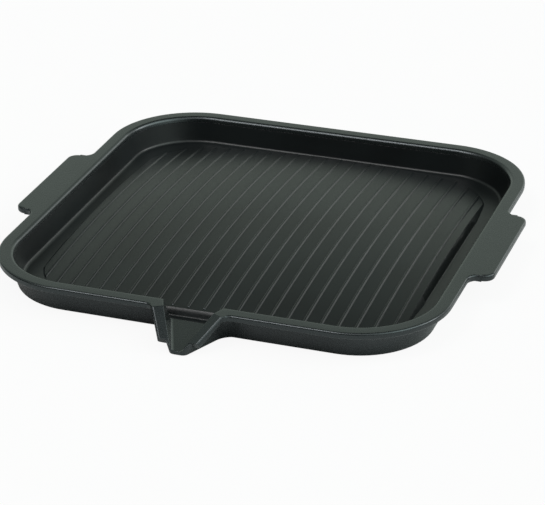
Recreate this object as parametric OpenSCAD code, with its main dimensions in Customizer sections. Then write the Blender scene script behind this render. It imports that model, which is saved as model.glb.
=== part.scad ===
// Camp griddle plate: a one-piece cast plate with a domed, ribbed bed, a drip moat,
// two tab handles and a pouring spout, lined with a non-stick coat inside the well.
// Origin at the bottom centre of the whole outline, +Z up, spout towards -Y. Millimetres.

/* [Rim] */
// Width of the rim from side to side
rim_w = 320; // [280:1:360]
// Depth of the rim from front to back
rim_d = 320; // [280:1:360]
// Radius of the rim's corners
rim_corner_r = 64; // [50:1:80]
// Height of the rim above the foot plane
plate_h = 23; // [21:0.5:28]
// Width of the flat flange
flange_w = 10.3; // [8:0.1:13]
// Thickness of the flange and of the handles
flange_t = 4.8; // [3.5:0.1:6]
// Rounding of the flange's outer edges
edge_r = 1.5; // [0.5:0.1:1.7]
// Rounding where the flange turns down into the well
lip_r = 3; // [1:0.1:4]

/* [Wall] */
// Depth of the moat below the rim
well_depth = 18.8; // [16:0.1:20]
// How far the inner wall leans in between the rim and the moat
wall_lean = 6.1; // [4:0.1:9]
// Inset of the outer wall under the flange
wall_inset = 7.5; // [6:0.1:8.5]
// Inset of the foot's outer edge
foot_inset = 12.8; // [10:0.1:14]
// Rounding of the foot's outer edge
foot_r = 2; // [0.5:0.1:3]
// Fillet between the outer wall and the flange
underlip_r = 1.5; // [0.5:0.1:2]
// Fillet between the inner wall and the moat
moat_fillet = 3; // [1:0.1:4]

/* [Bed] */
// Inset of the bed's foot at the two sides
bed_side_inset = 26.5; // [24:0.1:32]
// Inset of the bed's foot at the front and back
bed_end_inset = 22.7; // [22:0.1:30]
// Radius of the bed's corners
bed_corner_r = 56; // [45:1:70]
// Height of the middle of the bed above the foot plane
crown_z = 17.5; // [16.5:0.1:19]
// Radius of the dome
dome_r = 1100; // [950:10:1500]
// Slope of the bed's sides from upright
bed_draft = 25; // [15:1:35]
// Softening of the bed's top edge
bed_edge = 0.8; // [0.4:0.1:1.2]
// Fillet between the bed's sides and the moat
bed_fillet = 1.5; // [0.5:0.1:2]
// Thickness of the bed over its hollow underside
bed_t = 4.5; // [3.5:0.1:6]

/* [Ribs] */
// Distance from rib to rib
rib_pitch = 11.27; // [8:0.01:16]
// Width of a rib at its root
rib_w = 2.4; // [1.6:0.1:4]
// Height of a rib
rib_h = 1; // [0.5:0.1:1.6]
// Plain strip beside the last rib and past the ribs' ends
rib_margin = 2; // [1:0.1:5]

/* [Handles] */
// How far a handle reaches past the rim
handle_reach = 15.2; // [12:0.1:22]
// Length of a handle
handle_len = 101; // [70:1:130]
// Radius of the curve from the rim into a handle
handle_root_r = 7.6; // [4:0.1:10]

/* [Spout] */
// How far the spout's lip reaches past the rim
spout_reach = 21.6; // [18:0.2:25]
// Half the width of the trough's outside where it leaves the rim
spout_half = 21.8; // [20:0.1:25]
// Angle at which each side of the trough runs in
spout_taper = 23.5; // [18:0.5:26]
// Lean of the trough's sides from upright
spout_flare = 17.5; // [12:0.5:19]
// Rounding of the trough's front corners
spout_nose_r = 4.5; // [2:0.5:5.5]
// Hollow curve between the trough and the wall
web_r = 14; // [6:0.5:18]
// Clearance under the spout
spout_clear = 0.5; // [0.2:0.1:1.5]
// Half the width of the channel where it crosses the rim
channel_half = 17.6; // [16:0.1:18.5]
// Angle at which each side of the channel runs in
channel_taper = 21.7; // [18:0.1:24]
// Lean of the channel's sides from upright
channel_flare = 12.6; // [10:0.1:15]
// Fillet along the bottom of the channel
channel_r = 3; // [1.5:0.1:3.5]
// Height of the sill above the moat
sill_h = 1.8; // [0.8:0.1:3]
// Fall of the channel's floor from the sill to the lip
channel_fall = 3; // [2:0.1:3.5]
// Half the width over the two arms at the rim
arm_half = 26.9; // [25:0.1:30]
// Angle at which each arm runs in
arm_taper = 32.8; // [28:0.2:36]
// How far the outer corners of the arms reach past the rim
arm_reach = 20.5; // [16:0.5:21.5]
// Curve from the rim's edge into an arm
arm_root_r = 9; // [5:0.5:10]
// How much thinner an arm is than the flange, and how far inside the rim's edge it starts
arm_step = 0.2; // [0.1:0.05:0.5]
// Skew of the arms' ends from square
arm_skew = 21; // [10:1:30]
// How far the arms stand proud of the trough
arm_proud = 0.3; // [0.2:0.05:0.6]
// Downward slope of the two arms
arm_fall = 30.5; // [28:0.5:33]
// Sideways slope of the two arms
arm_cant = 16.9; // [14:0.1:20]
// Distance past the rim at which the arms begin to fall
arm_start = 0.3; // [0.1:0.1:2]

/* [Lining] */
// Thickness of the non-stick lining, drawn thicker than the real film
lining_t = 0.4; // [0.2:0.05:0.6]
// Drop of the lining's upper edge below the rim
lining_drop = 4; // [3.5:0.1:8]

/* [Hidden] */
$fn = 96;

// Steps in a rounded corner, in the small fillet round the bed and in a wide curve
arc_n = 5;
fillet_n = 3;
plan_n = 10;
// Margin by which a cut passes through, and lap of a core into the ring round it
cut = 1;
lap = 0.5;
moat_z = plate_h - well_depth;
wall_tilt = atan(wall_lean / well_depth);
bed_w = rim_w - 2 * bed_side_inset;
bed_d = rim_d - 2 * bed_end_inset;
dome_z = crown_z - dome_r;
// Half width and half depth of the bed at its top edge, in the middle of a side
top_half_w = top_half(bed_w / 2);
top_half_d = top_half(bed_d / 2);
rib_n = floor((top_half_w - bed_edge - rib_margin - rib_w / 2) / rib_pitch);
rib_end = top_half_d - bed_edge - rib_margin;
// Reach of the skirt that softens the bed's top edge
skirt = 15;
// Angle through which the dome is turned
dome_sweep = 2 * asin((max(rim_w, rim_d) / 2) / dome_r);
handle_corner_r = handle_reach - handle_root_r;
handle_overlap = flange_w / 2;
// The channel starts over the moat and runs out past the lip
channel_in = wall_lean + flange_w + moat_fillet;
channel_out = spout_reach + cut;
channel_slope = channel_fall / (channel_in + spout_reach);
// Point at which the right arm's inner edge bends down
arm_base = [channel_half, arm_start, plate_h];
// Distances past the rim at which its outer edge runs straight and bends down
arm_root = arm_root_r * (1 - sin(arm_taper));
arm_bend = (tan(arm_cant) * (arm_half - arm_base.x) + tan(arm_fall) * arm_start)
    / (tan(arm_fall) + tan(arm_taper) * tan(arm_cant));
// Frame of the right arm's sloping face: out of the face, down its outer edge, and inwards
arm_normal = unit([-tan(arm_cant), tan(arm_fall), 1]);
arm_line = [-tan(arm_taper), 1, -tan(arm_taper) * tan(arm_cant) - tan(arm_fall)];
arm_down = unit(arm_line);
arm_in = cross(arm_normal, arm_down);
// Thickness of an arm, and a width that takes it past the side of the channel
arm_t = flange_t - arm_step;
trough_top = plate_h - arm_step;
arm_inset = flange_w - lip_r - lap;
arm_w = flange_w + 2 * cut;

function top_half(foot) = foot - (dome_rho(foot, dome_r) + dome_z - moat_z) * tan(bed_draft);
function dome_rho(a, r) = sqrt(r * r - a * a);
function wall_u(z) = flange_w + wall_lean * (plate_h - z) / well_depth;
function unit(v) = v / norm(v);

// Arc of n steps that rounds the corner b between a and c
function corner_arc(a, b, c, r, n) =
    let (
        u1 = unit(a - b),
        u2 = unit(c - b),
        half = acos(u1 * u2) / 2,
        mid = b + unit(u1 + u2) * r / sin(half),
        p1 = b + u1 * r / tan(half) - mid,
        p2 = b + u2 * r / tan(half) - mid,
        from = atan2(p1.y, p1.x),
        turn = (atan2(p2.y, p2.x) - from + 540) % 360 - 180
    )
    [for (i = [0:n]) mid + r * [cos(from + turn * i / n), sin(from + turn * i / n)]];

// Outline with its corners rounded, one radius for each point
function rounded(pts, radii, n = arc_n) =
    let (last = len(pts) - 1)
    [
        for (i = [0:last])
            let (before = pts[i == 0 ? last : i - 1], after = pts[i == last ? 0 : i + 1])
            each radii[i] > 0 ? corner_arc(before, pts[i], after, radii[i], n) : [pts[i]]
    ];

// Carries a section of inset and height round a rounded rectangle
module ring(w, d, r) {
    for (side = [[0, w, d], [90, d, w], [180, w, d], [270, d, w]])
        rotate(side[0])
            translate([side[1] / 2, 0, 0])
                rotate([90, 0, 0])
                    linear_extrude(side[2] - 2 * r, center = true)
                        mirror([1, 0])
                            children();
    for (mx = [0, 1], my = [0, 1])
        mirror([mx, 0, 0])
            mirror([0, my, 0])
                translate([w / 2 - r, d / 2 - r, 0])
                    rotate_extrude(angle = 90)
                        translate([r, 0])
                            mirror([1, 0])
                                children();
}

// Block inside a ring whose section ends one lap short of the corner centres
module core(w, d, r, z0, z1) {
    translate([r - 2 * lap - w / 2, r - 2 * lap - d / 2, z0])
        cube([w - 2 * r + 4 * lap, d - 2 * r + 4 * lap, z1 - z0]);
}

// Upper end and foot of the surface under the lining, then the middle of the moat
function seat_points() = [
    [wall_u(plate_h - lining_drop) - lining_t / cos(wall_tilt), plate_h - lining_drop],
    [wall_u(moat_z - lining_t) - lining_t / cos(wall_tilt), moat_z - lining_t],
    [rim_corner_r - lap, moat_z - lining_t]
];

module rim_section() {
    polygon(rounded(
        concat(
            [
                [rim_corner_r - lap, 0],
                [foot_inset, 0],
                [wall_inset, plate_h - flange_t],
                [0, plate_h - flange_t],
                [0, plate_h],
                [flange_w, plate_h],
                [wall_u(plate_h - lining_drop), plate_h - lining_drop]
            ],
            seat_points()
        ),
        [0, foot_r, underlip_r, edge_r, edge_r, lip_r, 0, 0, moat_fillet + lining_t, 0]
    ));
}

module lining_section() {
    seat = seat_points();
    polygon(rounded(
        [
            [rim_corner_r - lap, moat_z],
            [wall_u(moat_z), moat_z],
            [wall_u(plate_h - lining_drop), plate_h - lining_drop],
            seat[0],
            seat[1],
            seat[2]
        ],
        [0, moat_fillet, 0, 0, moat_fillet + lining_t, 0]
    ));
}

// Edge of a tab, with inset and height, as on the flange
module tab_section(k, t = flange_t) {
    polygon(rounded(
        [[k, plate_h], [0, plate_h], [0, plate_h - t], [k, plate_h - t]],
        [0, edge_r, edge_r, 0]
    ));
}

// The same edge round a corner, measured from the corner's centre
module corner_section(r) {
    polygon(rounded(
        [[0, plate_h], [0, plate_h - flange_t], [r, plate_h - flange_t], [r, plate_h]],
        [0, 0, edge_r, edge_r]
    ));
}

// Right handle: straight outer edge, round corners and hollow curves into the rim
module handle() {
    translate([rim_w / 2 + handle_reach, 0, 0])
        rotate([90, 0, 0])
            linear_extrude(handle_len - 2 * handle_corner_r, center = true)
                mirror([1, 0])
                    tab_section(handle_reach + handle_overlap);
    translate([rim_w / 2 - handle_overlap, -handle_len / 2, plate_h - flange_t])
        cube([handle_overlap + handle_root_r, handle_len, flange_t]);
    for (end = [0, 1])
        mirror([0, end, 0]) {
            translate([rim_w / 2 + handle_root_r, handle_len / 2 - handle_corner_r, 0])
                rotate_extrude(angle = 90)
                    corner_section(handle_corner_r);
            intersection() {
                translate([rim_w / 2 + handle_root_r, handle_len / 2 + handle_root_r, 0])
                    rotate(180)
                        rotate_extrude(angle = 90)
                            translate([handle_root_r, 0])
                                tab_section(2 * handle_overlap);
                translate([rim_w / 2 - handle_overlap, handle_len / 2, 0])
                    cube([handle_overlap + handle_root_r, handle_root_r, plate_h + cut]);
            }
        }
}

// Dome across the ribs, as distance from the turning axis and place along it
function dome_points(off) = [
    for (k = [-rib_n:rib_n])
        for (t = [-2:2])
            let (a = k * rib_pitch + t * rib_w / 4)
            [dome_rho(a, dome_r - off) + rib_h * cos(45 * t), a]
];

// Softened top edge and skirt at one end of the dome's profile
function skirt_points(half, off, sign) =
    let (a = half - bed_edge, top = dome_rho(a, dome_r - off))
    [[top, sign * a], [top - skirt - bed_edge, sign * (half + skirt)]];

module ribbed_profile(off) {
    ends = skirt_points(top_half_w, off, -1);
    far = skirt_points(top_half_w, off, 1);
    polygon(concat(
        [[dome_r - 2 * plate_h, -top_half_w - skirt], ends[1], ends[0]],
        dome_points(off),
        [far[0], far[1], [dome_r - 2 * plate_h, top_half_w + skirt]]
    ));
}

// Profile front to back: clear of the ribs, then dropping to the bed's ends
module end_profile(off) {
    near = skirt_points(top_half_d, off + lining_t / 20, -1);
    far = skirt_points(top_half_d, off + lining_t / 20, 1);
    step = dome_rho(rib_end, dome_r - off - lining_t / 20);
    polygon([
        [dome_r - 2 * plate_h, -top_half_d - skirt],
        near[1],
        near[0],
        [step, -rib_end],
        [dome_r + 2 * rib_h, -rib_end],
        [dome_r + 2 * rib_h, rib_end],
        [step, rib_end],
        far[0],
        far[1],
        [dome_r - 2 * plate_h, top_half_d + skirt]
    ]);
}

module plain_profile(off) {
    half = max(bed_w, bed_d) / 2;
    polygon(concat(
        [[dome_r - 2 * plate_h, -half]],
        [for (i = [-8:8]) [dome_rho(i * half / 8, dome_r - off), i * half / 8]],
        [[dome_r - 2 * plate_h, half]]
    ));
}

// Turns a profile over the bed about an axis through the dome's centre
module over_bed() {
    translate([0, 0, dome_z])
        rotate([0, 90, 0])
            rotate_extrude(angle = dome_sweep, start = 180 - dome_sweep / 2, $fn = 720)
                children();
}

// Drafted block of the bed with the fillet at its foot
module bed_block(off, z0) {
    lean = tan(bed_draft);
    foot = off / cos(bed_draft) - off * lean;
    pts = rounded(
        [
            [bed_corner_r - lap, z0],
            [-2 * bed_fillet, z0],
            [-2 * bed_fillet, moat_z - off],
            [foot, moat_z - off],
            [foot + plate_h * lean, moat_z - off + plate_h],
            [bed_corner_r - lap, moat_z - off + plate_h]
        ],
        [0, 0, 0, bed_fillet + off, 0, 0],
        fillet_n
    );
    ring(bed_w, bed_d, bed_corner_r)
        polygon(pts);
    core(bed_w, bed_d, bed_corner_r, z0, moat_z - off + plate_h);
}

// Domed and ribbed bed, lowered all over by an offset
module bed(off, z0) {
    intersection() {
        bed_block(off, z0);
        over_bed()
            ribbed_profile(off);
        rotate(90)
            over_bed()
                end_profile(off);
    }
}

// Hollow under the bed, open at the foot plane
module hollow() {
    w = bed_w - 2 * bed_t;
    d = bed_d - 2 * bed_t;
    r = bed_corner_r - bed_t;
    intersection() {
        union() {
            ring(w, d, r)
                translate([0, -cut])
                    square([r - lap, plate_h]);
            core(w, d, r, -cut, plate_h - cut);
        }
        over_bed()
            plain_profile(bed_t);
    }
}

// Local frame at the front edge of the rim: y runs outwards
module at_front() {
    translate([0, -rim_d / 2, 0])
        mirror([0, 1, 0])
            children();
}

function spout_side(s, z) = spout_half - s * tan(spout_taper) - (plate_h - z) * tan(spout_flare);
function channel_side(s, z) = channel_half - s * tan(channel_taper) - (plate_h - z) * tan(channel_flare);
function channel_z(s) = moat_z + sill_h - channel_slope * (s + channel_in);
function outer_u(z) = foot_inset + (wall_inset - foot_inset) * z / (plate_h - flange_t);

// Outline of the trough at a height, with hollow curves that start just inside the wall
function spout_outline(z) =
    let (
        wall = -outer_u(z) - cut,
        side = spout_side(wall, z),
        nose = spout_side(spout_reach, z),
        far = side + web_r * tan((90 - spout_taper) / 2) + lap,
        right = [[far, wall - lap], [far, wall], [side, wall], [nose, spout_reach]],
        left = [for (i = [3:-1:0]) [-right[i].x, right[i].y]]
    )
    rounded(concat(right, left), [0, 0, web_r, spout_nose_r, spout_nose_r, web_r, 0, 0], plan_n);

// Outside of the trough: one outline drawn to another, wider one
module trough() {
    foot = [for (p = spout_outline(spout_clear)) [p.x, p.y, spout_clear]];
    head = [for (p = spout_outline(trough_top)) [p.x, p.y, trough_top]];
    n = len(foot);
    polyhedron(
        concat(foot, head),
        concat(
            [[for (i = [0:n - 1]) i], [for (i = [n - 1:-1:0]) n + i]],
            [for (i = [0:n - 1]) [i, n + i, n + (i + 1) % n]],
            [for (i = [0:n - 1]) [i, n + (i + 1) % n, (i + 1) % n]]
        )
    );
}

// Height over the rim of the right arm's sloping face, carried on past the bend
function arm_z(x, s) = (x - arm_base.x) * tan(arm_cant) - (s - arm_base.y) * tan(arm_fall);

// Frame on the sloping face: x inwards from the arm's outer edge, y up, z down the slope
module on_arm() {
    multmatrix([
        [arm_in.x, arm_normal.x, arm_down.x, arm_half],
        [arm_in.y, arm_normal.y, arm_down.y, 0],
        [arm_in.z, arm_normal.z, arm_down.z, plate_h + arm_z(arm_half, 0)],
        [0, 0, 0, 1]
    ])
        children();
}

// Everything above the two sloping faces, less the arms' own stand
module above_arms() {
    reach = 4 * arm_half;
    intersection_for (side = [0, 1])
        mirror([side, 0, 0])
            on_arm()
                translate([-reach / 2, -arm_proud, -reach / 2])
                    cube([reach, 2 * plate_h, reach]);
}

// Level part of the right arm: hollow curve out of the rim, then straight to the bend
module arm_level() {
    translate([arm_half + arm_root_r * tan((90 - arm_taper) / 2), arm_root_r - arm_step, 0])
        rotate(180 + arm_taper) {
            rotate_extrude(angle = 90 - arm_taper)
                translate([arm_root_r, 0])
                    tab_section(arm_inset, arm_t);
            translate([arm_root_r, 0, 0])
                rotate([90, 0, 0])
                    linear_extrude(max((arm_bend - arm_root) / cos(arm_taper), 0) + cut)
                        tab_section(arm_inset, arm_t);
        }
}

// Sloping part of the right arm, cut across its end
module arm_slope() {
    run = arm_reach * norm(arm_line);
    intersection() {
        on_arm()
            linear_extrude(2 * run)
                polygon(rounded(
                    [[arm_w, 0], [0, 0], [0, -arm_t], [arm_w, -arm_t]],
                    [0, edge_r, edge_r, 0]
                ));
        on_arm()
            rotate([90, 0, 0])
                linear_extrude(4 * arm_t, center = true)
                    polygon([
                        [-cut, -cut],
                        [-cut, run - cut * tan(arm_skew)],
                        [2 * arm_w, run + 2 * arm_w * tan(arm_skew)],
                        [2 * arm_w, -cut]
                    ]);
        translate([cut, -flange_w, spout_clear + cut])
            cube([2 * arm_half, 2 * flange_w + spout_reach, plate_h - spout_clear - cut]);
    }
}

// Rounded trough from the moat through the front wall to the lip
module channel() {
    top = plate_h + cut;
    hull() {
        for (s = [-channel_in, channel_out], side = [-1, 1])
            translate([
                side * max(channel_side(s, channel_z(s)) - channel_r, cut / 4),
                s,
                channel_z(s) + channel_r
            ])
                sphere(channel_r, $fn = 24);
        translate([0, 0, top])
            linear_extrude(cut)
                polygon([
                    [channel_side(-channel_in, top), -channel_in],
                    [channel_side(channel_out, top), channel_out],
                    [-channel_side(channel_out, top), channel_out],
                    [-channel_side(-channel_in, top), -channel_in]
                ]);
    }
}

// Trough with the flange carried out beside it: level at the rim, then falling to the lip
module spout() {
    difference() {
        union() {
            trough();
            for (side = [0, 1])
                mirror([side, 0, 0])
                    arm_level();
        }
        above_arms();
    }
    for (side = [0, 1])
        mirror([side, 0, 0])
            arm_slope();
}

// Cast body: rim, wall, floor, bed, handles and spout in one pour
module plate_casting() {
    color("dimgray")
        difference() {
            union() {
                ring(rim_w, rim_d, rim_corner_r)
                    rim_section();
                core(rim_w, rim_d, rim_corner_r, 0, moat_z - lining_t);
                bed(lining_t, 0);
                handle();
                mirror([1, 0, 0])
                    handle();
                at_front()
                    spout();
            }
            hollow();
            at_front()
                channel();
        }
}

// Non-stick coat over the bed, the moat and the inside of the wall
module nonstick_lining() {
    color("black")
        difference() {
            union() {
                ring(rim_w, rim_d, rim_corner_r)
                    lining_section();
                core(rim_w, rim_d, rim_corner_r, moat_z - lining_t, moat_z);
                bed(0, moat_z - lining_t);
            }
            bed(lining_t, 0);
            at_front()
                channel();
        }
}

// Sets the plate so that rim and spout together are centred on the origin
module centred() {
    translate([0, spout_reach / 2, 0])
        children();
}

centred() plate_casting();
centred() nonstick_lining();
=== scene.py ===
import math

import bpy
import bmesh
from mathutils import Matrix, Vector


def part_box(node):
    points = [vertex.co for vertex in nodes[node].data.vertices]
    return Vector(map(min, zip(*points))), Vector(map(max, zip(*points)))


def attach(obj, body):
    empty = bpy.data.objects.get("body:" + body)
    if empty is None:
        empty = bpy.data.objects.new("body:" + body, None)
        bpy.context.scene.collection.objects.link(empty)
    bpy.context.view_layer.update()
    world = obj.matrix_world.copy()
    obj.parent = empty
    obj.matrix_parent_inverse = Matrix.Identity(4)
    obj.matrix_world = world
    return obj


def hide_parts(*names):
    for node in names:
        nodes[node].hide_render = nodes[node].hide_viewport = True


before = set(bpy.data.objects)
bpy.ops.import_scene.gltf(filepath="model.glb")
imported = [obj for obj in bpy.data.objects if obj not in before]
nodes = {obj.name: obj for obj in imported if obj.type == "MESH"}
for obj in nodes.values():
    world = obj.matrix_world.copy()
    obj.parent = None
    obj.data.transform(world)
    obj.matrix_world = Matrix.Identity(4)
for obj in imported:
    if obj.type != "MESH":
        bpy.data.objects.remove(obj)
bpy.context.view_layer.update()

# where the rim lies in the frame, in metres
rim = {"spoutReach": 0.0216, "halfDepth": 0.160}
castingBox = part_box("plate_casting")
rimMiddle = Vector((0.0, castingBox[0][1] + rim["spoutReach"] + rim["halfDepth"], castingBox[1][2]))


def linear(hexCode):
    parts = [int(hexCode[i:i + 2], 16) / 255 for i in (1, 3, 5)]
    return tuple(c / 12.92 if c <= 0.04045 else ((c + 0.055) / 1.055) ** 2.4 for c in parts) + (1.0,)


def addNode(tree, kind, settings=None, links=None):
    node = tree.nodes.new(kind)
    for name, value in (settings or {}).items():
        if hasattr(node, str(name)):
            setattr(node, name, value)
        else:
            node.inputs[name].default_value = value
    for name, source in (links or {}).items():
        tree.links.new(source, node.inputs[name])
    return node


def newMaterial(name):
    material = bpy.data.materials.new(name)
    material.use_nodes = True
    material.node_tree.nodes.clear()
    return material


# lens and place read from the photograph's rim, place counted from the middle of the rim
photoCamera = {"azimuth": 19.35, "elevation": 25.81, "roll": -0.24, "lens": 153.84, "sensor": 36.0,
               "place": Vector((0.4980, -1.4127, 0.6923)), "clipEnd": 20}


def addCamera(look):
    az, el, roll = (math.radians(look[k]) for k in ("azimuth", "elevation", "roll"))
    back = Vector((math.sin(az) * math.cos(el), -math.cos(az) * math.cos(el), math.sin(el)))
    right = Vector((math.cos(az), math.sin(az), 0))
    up = right.cross(-back)
    tilted = right * math.cos(roll) + up * math.sin(roll)
    upright = up * math.cos(roll) - right * math.sin(roll)
    camera = bpy.data.objects.new("camera", bpy.data.cameras.new("camera"))
    bpy.context.scene.collection.objects.link(camera)
    axes = Matrix((tilted, upright, back)).transposed().to_4x4()
    camera.matrix_world = Matrix.Translation(rimMiddle + look["place"]) @ axes
    camera.data.lens = look["lens"]
    camera.data.sensor_width = look["sensor"]
    camera.data.clip_end = look["clipEnd"]
    bpy.context.scene.camera = camera


addCamera(photoCamera)
print("stage: camera")

# one-piece casting: its spout has a flat underside 0.5 mm up, and its rib ends start under the lining
castingShape = {"name": "castBody", "node": "plate_casting", "merge": 0.000004, "smoothAngle": 32,
                "creaseAngle": None, "levelFace": 0.97, "normalWeight": 60,
                "spoutFoot": 0.0005, "onFoot": 0.000003, "ribLift": 0.00045}
# lining: rib crests are smooth, rib feet and the bed's border are sharp
liningShape = {"name": "nonStickLining", "node": "nonstick_lining", "merge": 0.000004, "smoothAngle": 56,
               "creaseAngle": 30, "levelFace": 0.97, "normalWeight": 60,
               "spoutFoot": None, "ribLift": 0.00005}
# ribs that end on the bed's straight ends, counted from the middle one; run-out is length over height
ribShape = {"pitch": 0.01127, "outermost": 8, "halfWidth": 0.0013, "halfLength": 0.132309,
            "onEnd": 0.000005, "runOut": 1.2, "domeRadius": 1.1, "lowest": 0.005}


def refillFoot(mesh, shape):
    # the spout's flat underside is laid again inside its own outline, without the folded sheets beside it
    level = {v for v in mesh.verts if abs(v.co.z - shape["spoutFoot"]) < shape["onFoot"]}
    flat = [face for face in mesh.faces if level.issuperset(face.verts)]
    bmesh.ops.delete(mesh, geom=flat, context="FACES")
    outline = [edge for edge in mesh.edges if len(edge.link_faces) == 1 and level.issuperset(edge.verts)]
    filled = bmesh.ops.triangle_fill(mesh, use_beauty=True, edges=outline, normal=(0, 0, -1))
    laid = [part for part in filled["geom"] if isinstance(part, bmesh.types.BMFace)]
    gaps = [edge for edge in mesh.edges if len(edge.link_faces) != 2]
    print("foot:", len(flat), "faces out,", len(laid), "in,", len(gaps), "open edges")


def slopeRibEnds(mesh, lift):
    # the ribs run out in a short slope, where the CAD ends them in an upright face
    groups = {}
    for vert in mesh.verts:
        rib = round(vert.co.x / ribShape["pitch"])
        across = vert.co.x - rib * ribShape["pitch"]
        along = vert.co.y - rimMiddle.y
        onRib = abs(rib) <= ribShape["outermost"] and abs(across) < ribShape["halfWidth"]
        atEnd = abs(abs(along) - ribShape["halfLength"]) < ribShape["onEnd"]
        if onRib and atEnd and vert.co.z > ribShape["lowest"]:
            level = vert.co.z + vert.co.x ** 2 / (2 * ribShape["domeRadius"])
            groups.setdefault((rib, along > 0), []).append((vert, level))
    for key, ends in groups.items():
        outward = 1 if key[1] else -1
        foot = min(level for vert, level in ends) + lift
        for vert, level in ends:
            vert.co.y -= outward * ribShape["runOut"] * max(0.0, level - foot)
    print("rib ends sloped:", len(groups))


def isCrease(edge, shape):
    # foot of a rib and border of the bed, where a nearly level face meets a steep one
    if not shape["creaseAngle"] or len(edge.link_faces) != 2:
        return False
    if edge.calc_face_angle(0) < math.radians(shape["creaseAngle"]):
        return False
    return max(abs(face.normal.z) for face in edge.link_faces) > shape["levelFace"]


def mergedCopy(shape):
    bpy.ops.object.select_all(action="DESELECT")
    piece = bpy.data.objects.new(shape["name"], nodes[shape["node"]].data.copy())
    bpy.context.scene.collection.objects.link(piece)
    bpy.context.view_layer.objects.active = piece
    piece.select_set(True)
    bpy.ops.mesh.customdata_custom_splitnormals_clear()
    bpy.ops.object.mode_set(mode="EDIT")
    bpy.ops.mesh.select_all(action="SELECT")
    bpy.ops.mesh.remove_doubles(threshold=shape["merge"])
    mesh = bmesh.from_edit_mesh(piece.data)
    if shape["spoutFoot"]:
        refillFoot(mesh, shape)
    slopeRibEnds(mesh, shape["ribLift"])
    bmesh.update_edit_mesh(piece.data)
    bpy.ops.object.mode_set(mode="OBJECT")
    bpy.ops.object.shade_smooth_by_angle(angle=math.radians(shape["smoothAngle"]))
    mesh = bmesh.new()
    mesh.from_mesh(piece.data)
    for edge in mesh.edges:
        if isCrease(edge, shape):
            edge.smooth = False
    mesh.to_mesh(piece.data)
    mesh.free()
    weighted = piece.modifiers.new("weighted", "WEIGHTED_NORMAL")
    weighted.keep_sharp = True
    weighted.weight = shape["normalWeight"]
    bpy.ops.object.modifier_apply(modifier=weighted.name)
    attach(piece, "root")
    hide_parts(shape["node"])
    return piece


castBody = mergedCopy(castingShape)
lining = mergedCopy(liningShape)
print("stage: shapes", len(castBody.data.polygons), len(lining.data.polygons))

# heat-proof black coat on die-cast aluminium: satin, with the fine pebble of a sprayed and baked coat,
# and bright lines where it wraps the rim's and the spout's edges
bodyCoat = {"name": "heatProofBlackCoat", "dark": "#0d1011", "light": "#131717", "specTint": "#f2fbff",
            "cloudMm": 45.0, "cloudDetail": 3.0, "grainMm": 0.9, "grainDetail": 2.0, "grainDepth": 0.00010,
            "bump": 0.25, "band": (0.35, 0.65), "rough": (0.22, 0.31), "ior": 1.62,
            "edge": 0.0008, "edgeSamples": 6}
# non-stick film over the same casting: a low-index film, duller and darker than the coat, that shows a
# soft grey sheen only at a low angle
nonStickFilm = {"name": "nonStickFilm", "dark": "#0b0e0f", "light": "#111516", "specTint": "#ffffff",
                "cloudMm": 60.0, "cloudDetail": 3.0, "grainMm": 0.8, "grainDetail": 2.0, "grainDepth": 0.00008,
                "bump": 0.2, "band": (0.35, 0.65), "rough": (0.29, 0.39), "ior": 1.4,
                "edge": 0.00025, "edgeSamples": 6}


def coatMaterial(look):
    material = newMaterial(look["name"])
    tree = material.node_tree
    low, high = look["band"]
    place = addNode(tree, "ShaderNodeTexCoord").outputs["Object"]
    cloud = addNode(tree, "ShaderNodeTexNoise",
                    {"Scale": 1000 / look["cloudMm"], "Detail": look["cloudDetail"]}, {"Vector": place})
    grain = addNode(tree, "ShaderNodeTexNoise",
                    {"Scale": 1000 / look["grainMm"], "Detail": look["grainDetail"]}, {"Vector": place})
    ramp = addNode(tree, "ShaderNodeValToRGB", None, {"Fac": cloud.outputs["Fac"]})
    for stop, position, shade in zip(ramp.color_ramp.elements, (low, high), ("dark", "light")):
        stop.position = position
        stop.color = linear(look[shade])
    rough = addNode(tree, "ShaderNodeMapRange",
                    {"From Min": low, "From Max": high, "To Min": look["rough"][0], "To Max": look["rough"][1]},
                    {"Value": grain.outputs["Fac"]})
    edges = addNode(tree, "ShaderNodeBevel", {"samples": look["edgeSamples"], "Radius": look["edge"]})
    bump = addNode(tree, "ShaderNodeBump", {"Strength": look["bump"], "Distance": look["grainDepth"]},
                   {"Height": grain.outputs["Fac"], "Normal": edges.outputs["Normal"]})
    skin = addNode(tree, "ShaderNodeBsdfPrincipled",
                   {"Metallic": 0.0, "IOR": look["ior"], "Specular Tint": linear(look["specTint"])},
                   {"Base Color": ramp.outputs["Color"], "Roughness": rough.outputs["Result"],
                    "Normal": bump.outputs["Normal"]})
    addNode(tree, "ShaderNodeOutputMaterial", None, {"Surface": skin.outputs["BSDF"]})
    return material


def dress(piece, material):
    piece.data.materials.clear()
    piece.data.materials.append(material)


dress(castBody, coatMaterial(bodyCoat))
dress(lining, coatMaterial(nonStickFilm))
print("stage: coats")

# pale floor just under the foot, mostly white to the camera; soft panels round the plate, each with its
# azimuth from the right towards the back, elevation, strength, narrowness and tint
studio = {"floor": "#d4d4d4", "floorSize": 12, "floorHeight": -0.0001, "floorWhite": 0.92, "white": "#ffffff",
          "panels": [(90, 15, 0.76, 12, "#f0fff2"), (135, 15, 0.78, 12, "#f0fff2"),
                     (60, 18, 0.45, 12, "#f0fff4"), (225, 15, 0.2, 12, "#f0fff4"),
                     (0, 45, 3.2, 12, "#f0fffa"), (330, 35, 1.4, 12, "#f0fffa"),
                     (166, 47, 0.45, 12, "#f0fff4"), (235, 57, 9.0, 45, "#ffffff"),
                     (290, 62, 2.2, 45, "#ffffff"), (63, 17, 1.8, 60, "#ffffff"),
                     (26, 30, 8.0, 60, "#ffffff")]}


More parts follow.
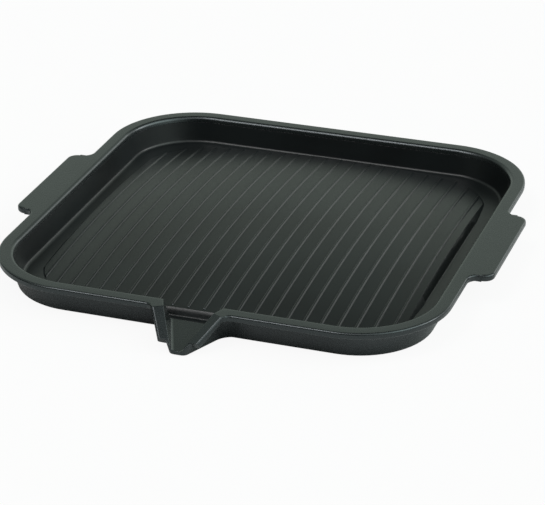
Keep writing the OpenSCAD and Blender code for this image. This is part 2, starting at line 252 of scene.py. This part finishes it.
def addFloor():
    bpy.ops.object.select_all(action="DESELECT")
    bpy.ops.mesh.primitive_plane_add(size=studio["floorSize"], location=(0, 0, studio["floorHeight"]))
    floor = bpy.context.object
    floor.name = "floor"
    paint = newMaterial("paleFloor")
    tree = paint.node_tree
    skin = addNode(tree, "ShaderNodeBsdfDiffuse", {"Color": linear(studio["floor"])})
    white = addNode(tree, "ShaderNodeEmission", {"Color": linear(studio["white"]), "Strength": 1.0})
    rays = addNode(tree, "ShaderNodeLightPath")
    share = addNode(tree, "ShaderNodeMath", {"operation": "MULTIPLY", 1: studio["floorWhite"]},
                    {0: rays.outputs["Is Camera Ray"]})
    mix = addNode(tree, "ShaderNodeMixShader", None,
                  {0: share.outputs[0], 1: skin.outputs[0], 2: white.outputs[0]})
    addNode(tree, "ShaderNodeOutputMaterial", None, {"Surface": mix.outputs[0]})
    floor.data.materials.append(paint)


def addWorld():
    world = bpy.data.worlds.new("studio")
    bpy.context.scene.world = world
    world.use_nodes = True
    tree = world.node_tree
    tree.nodes.clear()
    rays = addNode(tree, "ShaderNodeLightPath")
    towards = addNode(tree, "ShaderNodeTexCoord").outputs["Generated"]
    total = addNode(tree, "ShaderNodeCombineXYZ").outputs[0]
    for azimuth, elevation, strength, narrowness, tint in studio["panels"]:
        az, el = math.radians(azimuth), math.radians(elevation)
        heading = (math.cos(el) * math.cos(az), math.cos(el) * math.sin(az), math.sin(el))
        facing = addNode(tree, "ShaderNodeVectorMath", {"operation": "DOT_PRODUCT", 1: heading}, {0: towards})
        front = addNode(tree, "ShaderNodeMath", {"operation": "MAXIMUM", 1: 0.0}, {0: facing.outputs["Value"]})
        spread = addNode(tree, "ShaderNodeMath", {"operation": "POWER", 1: narrowness}, {0: front.outputs[0]})
        colour = tuple(strength * part for part in linear(tint)[:3])
        total = addNode(tree, "ShaderNodeVectorMath", {"operation": "MULTIPLY_ADD", 1: colour},
                        {0: spread.outputs[0], 2: total}).outputs[0]
    fill = addNode(tree, "ShaderNodeBackground", {"Strength": 1.0}, {"Color": total})
    seen = addNode(tree, "ShaderNodeBackground", {"Color": linear(studio["white"]), "Strength": 1.0})
    mix = addNode(tree, "ShaderNodeMixShader", None,
                  {0: rays.outputs["Is Camera Ray"], 1: fill.outputs[0], 2: seen.outputs[0]})
    addNode(tree, "ShaderNodeOutputWorld", None, {"Surface": mix.outputs[0]})


addFloor()
addWorld()
print("stage: studio")

bpy.context.scene.view_settings.view_transform = "Standard"
